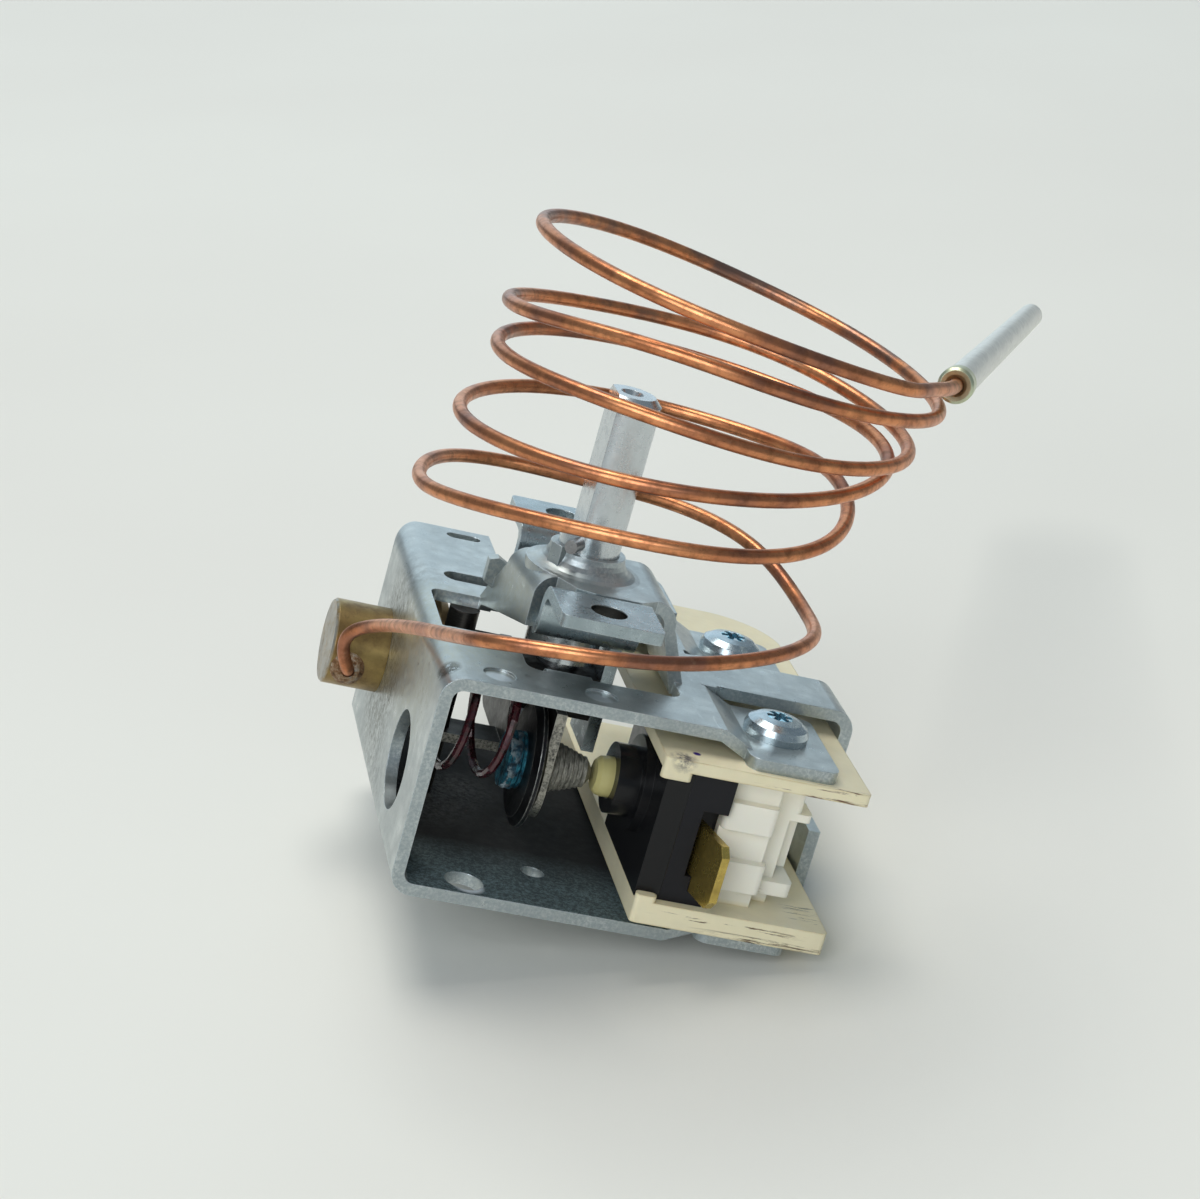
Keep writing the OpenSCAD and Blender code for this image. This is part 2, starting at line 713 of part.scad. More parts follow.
// Front blade: short root in the housing wall, then the leaning blade with a chamfered tip
module front_blade(extra) {
    h = blade_w / 2 + extra;
    tip = 7.1;
    block(notch_x - extra, notch_x + blade_t + extra, blade_root - 0.2, cavity_y[0] + 0.1,
        blade_z - h, blade_z + h);
    translate([notch_x, blade_root, 0]) rotate([0, 0, blade_lean]) drawn_x(-extra, blade_t + extra)
        polygon([[0.1, blade_z - h], [-tip + 0.7, blade_z - h], [-tip, blade_z - h + 0.9],
            [-tip, blade_z + h - 0.9], [-tip + 0.7, blade_z + h], [0.1, blade_z + h]]);
}

module front_terminal() {
    top = line_z + 1.4;
    color("gold") {
        front_blade(0);
        block(notch_x, arm_x + blade_t, cavity_y[0], cavity_y[0] + 0.5, blade_z, top);
        block(arm_x, arm_x + blade_t, cavity_y[0], contact_y + 1.4, line_z - 1.4, top);
        bar_x(arm_x - 0.2, arm_x + eps, contact_y, line_z, contact_r);
    }
}

module rear_terminal() {
    h = blade_w / 2;
    tip = 4.9;
    color("gold") {
        drawn_x(arm_x, arm_x + blade_t) polygon([[cavity_y[1] - 0.6, blade_z - h], [tip - 0.7, blade_z - h],
            [tip, blade_z - h + 0.9], [tip, blade_z + h - 0.9], [tip - 0.7, blade_z + h],
            [cavity_y[1] - 0.6, blade_z + h]]);
        block(moving_x, arm_x + blade_t, cavity_y[1] - 0.6, cavity_y[1], line_z - 1.4, line_z + 1.4);
        block(arm_x, arm_x + blade_t, cavity_y[1] - 0.6, cavity_y[1], blade_z, line_z + 1.4);
    }
}

// Pan head screws that hold the carrier, with a star recess
module carrier_screws() {
    length = 7.4;
    color("silver") for (y = screw_y) {
        translate([screw_x, y, ear_top]) difference() {
            union() {
                rotate_extrude($fn = 64) polygon([[0, 0], [3.1, 0], [3.15, 0.7], [2.9, 1.3], [2.2, 1.75],
                    [1.2, 1.95], [0, 2.0]]);
                translate([0, 0, -length]) cylinder(h = length + eps, r = screw_core, $fn = 48);
            }
            for (a = [0:60:120]) {
                rotate([0, 0, a]) translate([-1.25, -0.3, 1.0]) cube([2.5, 0.6, 2]);
            }
        }
    }
}

// Capsule: brass head outside the wall, stepped body inside, pin to the rocker
module on_capsule_axis() {
    translate([0, capsule_y, capsule_z]) rotate([0, 90, 0]) rotate_extrude($fn = 96) children();
}

module capsule_head() {
    left = frame_left - head_len;
    color("darkgoldenrod") on_capsule_axis() polygon([[0, left], [head_r - 0.2, left],
        [head_r, left + 0.25], [head_r, frame_left], [neck_r, frame_left], [neck_r, frame_inner],
        [0, frame_inner]]);
}

module capsule_body() {
    rim = frame_inner + 1.6;
    bore = push_r + 0.06;
    color("peru") on_capsule_axis() polygon([[0, frame_inner], [capsule_r - 1.8, frame_inner],
        [capsule_r - 1.8, rim], [capsule_r, rim], [capsule_r, rim + 1.4], [capsule_r - 1, rim + 1.4],
        [capsule_r - 1, rim + 2.5], [bore + 3.1, rim + 2.5], [bore + 3.1, rim + 3.2], [bore, rim + 3.2],
        [bore, rim + 1.2], [0, rim + 1.2]]);
}

module push_pin() {
    tip = web_x - 0.15;
    start = frame_inner + 3.4;
    color("lightgray") on_capsule_axis() polygon([[0, start], [push_r, start], [push_r, tip - 0.5],
        [push_r - 0.6, tip], [0, tip]]);
}

// Capillary route. The lead leaves the brass head and comes forward beside the wall
lead = [[-17.3, 12.4, -19.7], [-17.3, 11.5, -19.7], [-18.1, 10.9, -18.2], [-18.6, 10.6, -16.6],
    [-18.3, 10.1, -15.1], [-17.2, 8.8, -13.8], [-16.2, 4.5, -11.8], [-16.1, -3, -9], [-15.7, -10, -6.5],
    [-15.3, -18, -3.8], [-14.6, -25.5, -1.2]];
// Hand-wound turns: angle from the left round by the front, radius and height at each station.
// The first turn has more stations for its sharper corner
turns = [
    [[180, 21.5, -4], [240, 21, 1], [270, 21, 2.5], [300, 20.5, 3.5], [330, 20.5, 4], [360, 19.5, 3.5]],
    [[390, 18.5, 6], [420, 18.5, 6.5], [450, 19.5, 6], [480, 21, 6.5], [510, 19.5, 7.5]],
    [[540, 19, 8], [600, 18.5, 11.5], [660, 20.5, 13.5], [720, 17.5, 16.5], [780, 17.5, 15.5],
        [840, 18, 15]],
    [[900, 18.5, 15], [960, 19, 16.5], [1020, 19.5, 18.5], [1080, 19.5, 20.5], [1140, 18.5, 20.5],
        [1200, 17.5, 21]],
    [[1260, 18, 21.5], [1320, 18.5, 22.5], [1380, 19, 21.5], [1440, 20, 21.5], [1500, 19.5, 23],
        [1560, 19.5, 23.5]],
    [[1620, 19, 25.5], [1680, 18, 28], [1740, 19, 26.5], [1800, 20.5, 25.5], [1860, 21.5, 27.5],
        [1920, 20.5, 31]],
    [[1980, 19, 32.5], [2040, 19.5, 32], [2100, 19, 29.5], [2160, 19, 26]]];
coil_left = -2;
coil_right = 5;
coil_y = -13;
// Angle of one swept length, and the lengths of coil that shape each of its joins
coil_step = 10;
join_span = 6;
bulb_start = [24, -17, 28.1];
bulb_azimuth = 67;
bulb_dip = 5.7;
bulb_dir = [cos(bulb_dip) * cos(bulb_azimuth), cos(bulb_dip) * sin(bulb_azimuth), -sin(bulb_dip)];
cap_depth = 1.4;
tail = [[18.6, -25.4, 29.0], [21.4, -21.9, 28.6], bulb_start - 1.5 * bulb_dir,
    bulb_start + (cap_depth - 0.05) * bulb_dir];

stations = [for (row = turns) each row];
last_station = len(stations) - 1;
coil_slope = (coil_right - coil_left) / (stations[last_station][0] - stations[0][0]);
function pick(v, i) = v[max(0, min(i, len(v) - 1))];
function curve(a, b, c, d, w) = 0.5 * (2 * b + (c - a) * w + (2 * a - 5 * b + 4 * c - d) * w * w
    + (3 * b - a - 3 * c + d) * w * w * w);
function along(v, i, w) = curve(pick(v, i - 1), pick(v, i), pick(v, i + 1), pick(v, i + 2), w);
function smooth(v, i0, i1, n) = [for (i = [i0:1:i1 - 1]) for (k = [0:1:n - 1]) along(v, i, k / n)];
function coil_point(i, w) = let(q = along(stations, i, w))
    [coil_left + coil_slope * (q[0] - stations[0][0]) + q[1] * cos(q[0]), coil_y + q[1] * sin(q[0]), q[2]];
function lengths(i) = round((stations[i + 1][0] - stations[i][0]) / coil_step);

// The coil runs from its second station to the last but one, and joins the lead and the tail
coil = [for (i = [1:1:last_station - 2]) for (k = [0:1:lengths(i) - 1]) coil_point(i, k / lengths(i))];
coil_end = coil_point(last_station - 1, 0);
into_coil = concat(lead, [coil[0], coil[join_span]]);
out_of_coil = concat([coil[len(coil) - join_span], coil_end], tail);
route = concat([lead[0]], smooth(into_coil, 1, len(lead), 3), coil,
    smooth(out_of_coil, 1, len(tail) + 1, 3), [tail[len(tail) - 1]]);

module capillary_tube() {
    color("chocolate") swept(route, tube_r, 8, [1, 0, 0]);
}

// Fillet of solder where the tube enters the brass head
module solder_joint() {
    color("tan") difference() {
        translate([lead[0][0], 0, lead[0][2]]) rotate([90, 0, 0]) rotate_extrude($fn = 48)
            polygon([[tube_r + 0.02, -13.4], [1.8, -13.4], [1.7, -12.4], [1.2, -11.9],
                [tube_r + 0.02, -11.7]]);
        bar_x(frame_left - head_len - 1, frame_left, capsule_y, capsule_z, head_r);
    }
}

module on_bulb_axis() {
    translate(bulb_start) rotate([0, 90 + bulb_dip, bulb_azimuth]) rotate_extrude($fn = 64) children();
}

module bulb_cap() {
    color("wheat") on_bulb_axis() polygon([[tube_r + 0.03, 0.6], [1.0, 0.15], [bulb_r - 0.1, 0],
        [bulb_r + 0.15, 0.3], [bulb_r + 0.15, 3.0], [bulb_r, 3.0], [bulb_r, cap_depth],
        [tube_r + 0.03, cap_depth]]);
}

module sensing_bulb() {
    color("lightgray") on_bulb_axis() polygon([[0, cap_depth], [bulb_r, cap_depth], [bulb_r, bulb_len - 2],
        [bulb_r - 0.4, bulb_len - 0.6], [bulb_r - 0.9, bulb_len], [0, bulb_len]]);
}

frame();
mounting_strap();
spindle_bush();
spindle();
stop_pin();
setting_nut();
rocker();
pivot_pin();
adjusting_screw();
spring_seat();
return_spring();
switch_carrier();
switch_cover();
switch_housing();
plunger();
contact_blade();
front_terminal();
rear_terminal();
carrier_screws();
capsule_head();
capsule_body();
push_pin();
solder_joint();
capillary_tube();
bulb_cap();
sensing_bulb();
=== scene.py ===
import math
import bpy
import bmesh
from mathutils import Vector, Matrix


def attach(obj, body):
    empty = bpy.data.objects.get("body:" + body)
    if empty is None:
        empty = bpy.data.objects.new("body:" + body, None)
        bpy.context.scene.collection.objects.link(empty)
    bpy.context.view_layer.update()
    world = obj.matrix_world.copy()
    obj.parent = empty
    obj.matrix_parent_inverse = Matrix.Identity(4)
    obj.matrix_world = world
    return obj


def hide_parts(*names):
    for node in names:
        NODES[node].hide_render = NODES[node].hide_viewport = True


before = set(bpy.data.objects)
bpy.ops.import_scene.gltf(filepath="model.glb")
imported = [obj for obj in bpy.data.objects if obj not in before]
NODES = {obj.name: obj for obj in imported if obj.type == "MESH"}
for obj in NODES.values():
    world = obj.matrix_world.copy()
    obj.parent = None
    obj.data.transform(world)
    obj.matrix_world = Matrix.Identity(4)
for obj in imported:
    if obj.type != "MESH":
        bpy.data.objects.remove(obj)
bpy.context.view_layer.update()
MM = 0.001
MM_PER_METRE = 1000

BEVEL_SAMPLES = 4
# Cosine between the true and the rounded normal, where an edge starts to show and where it is full
EDGE_FAINT, EDGE_FULL = 0.995, 0.93
# Texture scale of a streak, across it and along it
STREAK_ACROSS, STREAK_ALONG = 4.0, 0.22


# Materials
class Look:
    """A node material whose textures are laid out in millimetres."""

    def __init__(self, name, metallic=0.0, **sockets):
        self.mat = bpy.data.materials.new(name)
        self.mat.use_nodes = True
        self.tree = self.mat.node_tree
        self.tree.nodes.clear()
        out = self.add("ShaderNodeOutputMaterial")
        self.bsdf = self.add("ShaderNodeBsdfPrincipled")
        self.link(self.bsdf.outputs[0], out.inputs[0])
        self.bsdf.inputs["Metallic"].default_value = metallic
        for key, value in sockets.items():
            self.bsdf.inputs[key.replace("_", " ")].default_value = value
        coord = self.add("ShaderNodeTexCoord")
        mapping = self.add("ShaderNodeMapping")
        mapping.inputs["Scale"].default_value = (MM_PER_METRE, MM_PER_METRE, MM_PER_METRE)
        self.link(coord.outputs["Object"], mapping.inputs["Vector"])
        self.vec = mapping.outputs["Vector"]

    def add(self, kind):
        return self.tree.nodes.new(kind)

    def link(self, a, b):
        self.tree.links.new(a, b)

    def stretched(self, sx, sy, sz):
        m = self.add("ShaderNodeMapping")
        m.inputs["Scale"].default_value = (sx, sy, sz)
        self.link(self.vec, m.inputs["Vector"])
        return m.outputs["Vector"]

    def noise(self, scale, detail=4.0, rough=0.55, distortion=0.0, vec=None):
        n = self.add("ShaderNodeTexNoise")
        n.inputs["Scale"].default_value = scale
        n.inputs["Detail"].default_value = detail
        n.inputs["Roughness"].default_value = rough
        n.inputs["Distortion"].default_value = distortion
        self.link(vec or self.vec, n.inputs["Vector"])
        return n.outputs["Fac"]

    def cells(self, scale):
        n = self.add("ShaderNodeTexVoronoi")
        n.inputs["Scale"].default_value = scale
        self.link(self.vec, n.inputs["Vector"])
        return n.outputs["Distance"]

    def ramp(self, fac, stops):
        n = self.add("ShaderNodeValToRGB")
        elements = n.color_ramp.elements
        while len(elements) < len(stops):
            elements.new(0.5)
        for element, (position, col) in zip(elements, stops):
            element.position = position
            element.color = (*col, 1.0)
        self.link(fac, n.inputs["Fac"])
        return n.outputs["Color"]

    def mix(self, fac, a, b):
        n = self.add("ShaderNodeMix")
        n.data_type = "RGBA"
        self.socket(n.inputs[0], fac)
        self.socket(n.inputs[6], a)
        self.socket(n.inputs[7], b)
        return n.outputs[2]

    def socket(self, inp, value):
        if hasattr(value, "is_output"):
            self.link(value, inp)
        elif isinstance(value, (tuple, list)):
            inp.default_value = (*value, 1.0)
        else:
            inp.default_value = value

    def math(self, op, a, b, clamp=False):
        n = self.add("ShaderNodeMath")
        n.operation = op
        n.use_clamp = clamp
        self.socket(n.inputs[0], a)
        self.socket(n.inputs[1], b)
        return n.outputs[0]

    def spread(self, value, lo, hi, out_lo=0.0, out_hi=1.0):
        n = self.add("ShaderNodeMapRange")
        self.link(value, n.inputs["Value"])
        for key, v in zip(("From Min", "From Max", "To Min", "To Max"), (lo, hi, out_lo, out_hi)):
            n.inputs[key].default_value = v
        return n.outputs["Result"]

    def varied(self, fac, low=0.0, high=1.0):
        """A value between low and high that follows a noise over its usual range."""
        return self.spread(fac, 0.3, 0.7, low, high)

    def stain(self, col, fac, lo, hi, amount, shade):
        """The shade over col as fac rises from lo to hi, up to an amount."""
        return self.mix(self.spread(fac, lo, hi, 0.0, amount), col, shade)

    def rounded(self, width):
        """The normal rounded off over a width in millimetres."""
        n = self.add("ShaderNodeBevel")
        n.samples = BEVEL_SAMPLES
        n.inputs["Radius"].default_value = width * MM
        return n.outputs["Normal"]

    def edges(self, width=0.16):
        """1 along edges, where the normal rounded over a width in millimetres leaves the true one."""
        geometry = self.add("ShaderNodeNewGeometry")
        n = self.add("ShaderNodeVectorMath")
        n.operation = "DOT_PRODUCT"
        self.link(geometry.outputs["Normal"], n.inputs[0])
        self.link(self.rounded(width), n.inputs[1])
        return self.spread(n.outputs["Value"], EDGE_FAINT, EDGE_FULL)

    def near(self, point, radius, soft):
        """1 inside a ball round a point in millimetres, falling to 0 outside."""
        n = self.add("ShaderNodeVectorMath")
        n.operation = "DISTANCE"
        self.link(self.vec, n.inputs[0])
        n.inputs[1].default_value = point
        return self.spread(n.outputs["Value"], radius + soft, radius)

    def axis(self, which):
        s = self.add("ShaderNodeSeparateXYZ")
        self.link(self.vec, s.inputs[0])
        return s.outputs["XYZ".index(which)]

    def band(self, which, lo, hi, soft=0.05):
        """1 where the coordinate in millimetres lies between lo and hi."""
        v = self.axis(which)
        rise = self.spread(v, lo - soft, lo + soft)
        fall = self.spread(v, hi + soft, hi - soft)
        return self.math("MULTIPLY", rise, fall, True)

    def facing(self, which, lo=0.3, hi=0.8):
        """1 where the surface faces along +which in the piece's own axes, or -which for negative limits."""
        coord = self.add("ShaderNodeTexCoord")
        s = self.add("ShaderNodeSeparateXYZ")
        self.link(coord.outputs["Normal"], s.inputs[0])
        return self.spread(s.outputs["XYZ".index(which)], lo, hi)

    def streaks(self, along, lo, hi):
        """Thin broken lines drawn out along one axis."""
        size = [STREAK_ACROSS] * 3
        size["XYZ".index(along)] = STREAK_ALONG
        lines = self.noise(1.0, detail=5.0, rough=0.7, distortion=0.4, vec=self.stretched(*size))
        return self.spread(lines, lo, hi)

    def blot(self, point, radius, soft, lo, hi, rough):
        """A ragged blot round a point."""
        ragged = self.spread(self.noise(1.6, detail=6.0, rough=rough), lo, hi)
        return self.both(self.near(point, radius, soft), ragged)

    def both(self, *masks):
        out = masks[0]
        for m in masks[1:]:
            out = self.math("MULTIPLY", out, m, True)
        return out

    def finish(self, color, rough, bump, strength, distance, bevel=0.0, metal=None):
        """Joins everything to the shader. The bump's distance and the bevel are in millimetres."""
        self.socket(self.bsdf.inputs["Base Color"], color)
        self.socket(self.bsdf.inputs["Roughness"], rough)
        if metal is not None:
            self.socket(self.bsdf.inputs["Metallic"], metal)
        relief = self.add("ShaderNodeBump")
        relief.inputs["Strength"].default_value = strength
        relief.inputs["Distance"].default_value = distance * MM
        self.link(bump, relief.inputs["Height"])
        if bevel:
            self.link(self.rounded(bevel), relief.inputs["Normal"])
        self.link(relief.outputs["Normal"], self.bsdf.inputs["Normal"])
        return self.mat


def times(factor, colour):
    return [min(1.0, factor * c) for c in colour]


DARK = (0.10, 0.085, 0.07)
INK = (0.045, 0.015, 0.20)
BLACK = (0.012, 0.012, 0.012)
GLINT = (0.80, 0.86, 0.90)
RUST = (0.13, 0.045, 0.02)
SPECK = (0.10, 0.105, 0.11)
PAINTED_SPARKLE = (0.45, 0.82, 0.97)
# Colour of worn edges, partly a painted edge highlight
ZINC_EDGE = (0.74, 0.81, 0.84)
SHEET_METAL = 0.90
SHEET_BEVEL = 0.12


def galvanised(name, light, dark, rough=(0.26, 0.46), marks=(), shades=(), edge=ZINC_EDGE, rim=None):
    """Coated sheet: spangle, drag lines, specks, blots, a cut rim, worn edges that are also a painted
    highlight, and painted shade, reflections and glints.
    """
    k = Look(name)
    middle = [0.5 * (a + b) for a, b in zip(light, dark)]
    col = k.ramp(k.cells(0.55), [(0.0, light), (0.5, middle), (1.0, dark)])
    cloud = k.noise(0.16, rough=0.6, distortion=0.3)
    col = k.mix(k.spread(cloud, 0.38, 0.62), dark, col)
    drag = k.noise(1.1, detail=5.0, rough=0.7, distortion=0.5, vec=k.stretched(0.3, 2.2, 2.2))
    col = k.stain(col, drag, 0.60, 0.76, 0.40, times(0.50, dark))
    shine = k.noise(0.9, rough=0.7, distortion=0.8, vec=k.stretched(2.4, 0.4, 1.0))
    col = k.stain(col, shine, 0.60, 0.74, 0.4, times(1.25, light))
    col = k.stain(col, k.noise(5.0, detail=5.0, rough=0.75), 0.59, 0.70, 0.6, SPECK)
    pale = k.noise(6.0, rough=0.7, vec=k.stretched(1.0, 1.3, 1.7))
    col = k.stain(col, pale, 0.62, 0.70, 0.35, times(1.7, light))
    grime_and_painted_light = None
    # Zones of painted shade and painted reflection, mottled; further down they are also made less metallic
    # and rougher
    for masks, shade, lo, hi in shades:
        mask = k.both(*[k.facing(m[0]) if len(m) == 1 else k.band(*m) for m in masks])
        mottle = k.spread(k.noise(2.6, detail=6.0, rough=0.85), lo, hi)
        col = k.mix(mask, col, k.mix(mottle, shade, times(2.6, shade)))
        grime_and_painted_light = mask if grime_and_painted_light is None else k.math("MAXIMUM", grime_and_painted_light, mask)
    # Blots, and marks of painted light: glints and reflections
    for point, radius, soft, shade, lo, hi in marks:
        col = k.mix(k.blot(point, radius, soft, lo, hi, 0.8), col, shade)
    if rim:
        ragged = k.spread(k.noise(3.0, detail=5.0, rough=0.8), 0.40, 0.56)
        col = k.mix(k.both(k.facing("Y", -0.3, -0.8), ragged), col, rim)
    # Worn edges, brightened also as a painted edge highlight
    worn = k.spread(k.noise(2.0, rough=0.7), 0.36, 0.56, 0.25, 0.9)
    col = k.mix(k.math("MULTIPLY", k.edges(), worn), col, edge)
    r = k.varied(k.noise(0.8, detail=5.0, rough=0.65), *rough)
    metal = SHEET_METAL
    if grime_and_painted_light is not None:
        metal = k.spread(grime_and_painted_light, 0.0, 1.0, SHEET_METAL, 0.10)
        r = k.math("ADD", r, k.spread(grime_and_painted_light, 0.0, 1.0, 0.0, 0.60), True)
    return k.finish(col, r, k.noise(4.5, detail=5.0, rough=0.65), 0.22, 0.06, SHEET_BEVEL, metal)


def turned(name, base, dark, rough=0.3, grain=(1, 1, 12), soil=0.55, painted_sparkles=()):
    """Turned or drawn steel, with painted sparkles at given points. Its lines run across the axes where
    grain is largest.
    """
    k = Look(name, metallic=0.95)
    lines = k.noise(1.4, rough=0.7, vec=k.stretched(*grain))
    col = k.mix(k.spread(lines, 0.35, 0.68), base, dark)
    grime_and_painted_light = k.noise(0.9, detail=5.0, rough=0.7)
    col = k.stain(col, grime_and_painted_light, 0.60, 0.75, soil, times(0.35, dark))
    # Painted sparkles: cyan glints round the given points
    for point, radius in painted_sparkles:
        broken = k.spread(k.noise(2.2, detail=3.0, rough=0.7), 0.46, 0.54)
        col = k.mix(k.both(k.near(point, radius, 0.2), broken), col, PAINTED_SPARKLE)
    return k.finish(col, k.varied(grime_and_painted_light, rough * 0.8, rough * 1.5), lines, 0.10, 0.05, bevel=0.08)


def plastic(name, base, dirt, dirt_amount, rough, bevel, glow=0.0, zones=(), marks=(), shine=0.4,
            aged=None):
    """Moulded plastic: clouds, aged edges, zones painted paler as painted light, specks, blots and streaks.
    """
    k = Look(name, Specular_IOR_Level=shine)
    if glow:
        k.bsdf.inputs["Subsurface Weight"].default_value = glow
        k.bsdf.inputs["Subsurface Radius"].default_value = (0.0010, 0.0007, 0.0004)
    col = k.mix(k.varied(k.noise(0.35, rough=0.6)), base, times(0.92, base))
    if aged:
        old = k.math("MULTIPLY", k.edges(0.3), k.spread(k.noise(0.5), 0.35, 0.6, 0.1, 0.7))
        col = k.mix(old, col, aged)
    # Painted light: zones made paler, as if lit
    for limits, shade in zones:
        col = k.mix(k.both(*[k.band(*m) for m in limits]), col, shade)
    col = k.stain(col, k.noise(3.0, detail=6.0, rough=0.8), 0.68, 0.76, dirt_amount, dirt)
    for kind, where, shade, lo, hi in marks:
        if kind == "blot":
            mask = k.blot(*where, lo, hi, 0.75)
        else:
            mask = k.both(*[k.band(*m) for m in where], k.streaks(kind, lo, hi))
        col = k.mix(mask, col, shade)
    r = k.varied(k.noise(1.2), rough * 0.85, rough * 1.2)
    relief = 0.06 if shine > 0.3 else 0.02
    return k.finish(col, r, k.noise(9.0, detail=3.0), relief, 0.03, bevel)


def copper(name):
    """Drawn copper in red and dark patches, rubbed in places and dull on the upper turns at the back."""
    k = Look(name, metallic=0.95)
    col = k.ramp(k.noise(0.10, rough=0.6), [
        (0.32, (0.52, 0.185, 0.08)), (0.46, (0.74, 0.31, 0.14)),
        (0.56, (0.54, 0.21, 0.10)), (0.66, (0.32, 0.14, 0.09))])
    fine = k.noise(0.9, detail=5.0, rough=0.7)
    col = k.stain(col, fine, 0.46, 0.68, 0.6, (0.16, 0.065, 0.032))
    patchy = k.spread(k.noise(0.22, detail=3.0), 0.50, 0.66)
    dull = k.both(patchy, k.spread(k.axis("Z"), 16.0, 24.0), k.spread(k.axis("Y"), -16.0, -8.0))
    col = k.mix(k.math("MULTIPLY", dull, 0.7), col, (0.17, 0.13, 0.115))
    rub = k.noise(0.5, rough=0.65, distortion=0.5)
    col = k.stain(col, rub, 0.64, 0.78, 0.4, (0.62, 0.36, 0.22))
    return k.finish(col, k.varied(fine, 0.26, 0.42), k.noise(1.1, detail=3.0, rough=0.5), 0.05, 0.05)


def brass(name, base, dark, tin=None, rough=0.35):
    """Clouded and scratched brass. Tin gives the axis, limits and colour of a tinned face."""
    k = Look(name, metallic=0.9)
    cloud = k.noise(0.45, detail=5.0, rough=0.65)
    col = k.mix(k.spread(cloud, 0.36, 0.66), base, dark)
    scratch = k.noise(1.6, detail=5.0, rough=0.8, distortion=0.4, vec=k.stretched(1, 0.4, 2.6))
    col = k.stain(col, scratch, 0.60, 0.72, 0.5, times(0.4, dark))
    if tin:
        axis, lo, hi, shade = tin
        smear = k.spread(k.noise(0.8, detail=5.0, rough=0.7), 0.30, 0.52)
        col = k.mix(k.both(k.spread(k.axis(axis), lo, hi), smear), col, shade)
    return k.finish(col, k.varied(cloud, rough * 0.8, rough * 1.4), scratch, 0.10, 0.05, bevel=0.1)


def solder(name):
    """Lumpy solder, brown with flux in places."""
    k = Look(name, metallic=0.7)
    cloud = k.noise(1.3, detail=5.0, rough=0.75)
    col = k.ramp(cloud, [
        (0.36, (0.085, 0.05, 0.022)), (0.47, (0.24, 0.12, 0.055)),
        (0.56, (0.34, 0.24, 0.15)), (0.66, (0.42, 0.38, 0.33))])
    return k.finish(col, k.varied(cloud, 0.5, 0.28), k.noise(1.6, detail=6.0, rough=0.8), 0.8, 0.35)


def spring_look():
    k = Look("red lacquered wire", metallic=0.3, Coat_Weight=0.5, Coat_Roughness=0.15)
    cloud = k.noise(0.9)
    col = k.ramp(cloud, [
        (0.34, (0.008, 0.002, 0.003)), (0.52, (0.055, 0.004, 0.009)), (0.68, (0.022, 0.004, 0.014))])
    return k.finish(col, k.varied(cloud, 0.18, 0.40), k.noise(4.0), 0.1, 0.05)


def screw_look():
    """Steel thread, with blue lacquer over its left end."""
    k = Look("sealed thread", metallic=0.6)
    steel = k.ramp(k.noise(1.4, detail=5.0, rough=0.7, vec=k.stretched(2.4, 0.8, 0.8)), [
        (0.35, (0.10, 0.095, 0.08)), (0.52, (0.27, 0.26, 0.225)), (0.66, (0.44, 0.42, 0.36))])
    left = k.spread(k.axis("X"), -1.2, -2.0)
    lump = k.spread(k.noise(0.9, detail=5.0, rough=0.7), 0.30, 0.40)
    seal = k.ramp(k.noise(1.1, detail=5.0, rough=0.7), [
        (0.36, (0.003, 0.010, 0.016)), (0.48, (0.006, 0.065, 0.105)), (0.60, (0.03, 0.20, 0.27))])
    col = k.mix(k.both(left, lump), steel, seal)
    r = k.varied(k.noise(1.2), 0.30, 0.65)
    return k.finish(col, r, k.noise(2.6, detail=6.0, rough=0.75), 0.8, 0.25)


def seal_look():
    """Blue lacquer, worn pale at its left end and crossed by fine pale lines."""
    k = Look("blue lacquer")
    tint = k.noise(0.75, detail=5.0, rough=0.7, distortion=0.8)
    col = k.ramp(tint, [
        (0.36, (0.002, 0.008, 0.013)), (0.50, (0.004, 0.045, 0.080)),
        (0.60, (0.015, 0.12, 0.18)), (0.72, (0.12, 0.30, 0.36))])
    left = k.spread(k.axis("X"), -3.6, -4.9)
    worn = k.spread(k.noise(1.3, detail=5.0, rough=0.7), 0.42, 0.56)
    col = k.mix(k.both(left, worn), col, (0.34, 0.42, 0.45))
    line = k.noise(3.0, detail=5.0, rough=0.8, distortion=0.6, vec=k.stretched(0.8, 1.2, 1.8))
    col = k.stain(col, line, 0.62, 0.70, 0.6, (0.42, 0.55, 0.60))
    return k.finish(col, k.varied(tint, 0.22, 0.55), k.noise(2.4, detail=6.0, rough=0.8), 1.0, 0.3)


# Limits that every noise value passes, so that a mark has no ragged edge
ALL_OVER = (-1.0, -0.9)
# Marks on the frame: dark blots and a darker patch on the left wall, a paler patch along its top, painted
# glints and painted reflections. Each: place, radius, soft edge, colour, and the noise where they begin and
# are full
FRAME_BLOTS_AND_PAINTED_LIGHT = [
    ((-13.3, -13.1, -8.2), 1.2, 0.6, BLACK, 0.40, 0.47),
    ((-13.6, -9.0, -13.5), 1.4, 1.2, BLACK, 0.54, 0.60),
    ((-13.6, 12.0, -18.0), 6.0, 5.0, (0.13, 0.13, 0.11), 0.42, 0.64),
    ((-13.0, -2.0, -8.4), 8.0, 6.0, (0.50, 0.515, 0.45), 0.36, 0.62),
    # Painted glints on pips and holes
    ((-8.2, -13.9, -8.3), 1.1, 0.4, GLINT, 0.30, 0.36),
    ((1.3, -14.2, -8.3), 1.1, 0.4, GLINT, 0.30, 0.36),
    ((-5.9, -14.6, -28.9), 1.2, 0.5, GLINT, 0.30, 0.36),
    ((1.3, -8.8, -28.9), 0.6, 0.3, GLINT, 0.30, 0.36),
    # Painted reflections on the inner lower plate
    ((-9.5, 5.0, -28.7), 2.5, 6.0, (0.13, 0.137, 0.137), 0.40, 0.70),
    ((-5.0, 9.0, -28.7), 2.0, 4.0, (0.15, 0.155, 0.155), 0.40, 0.70)]
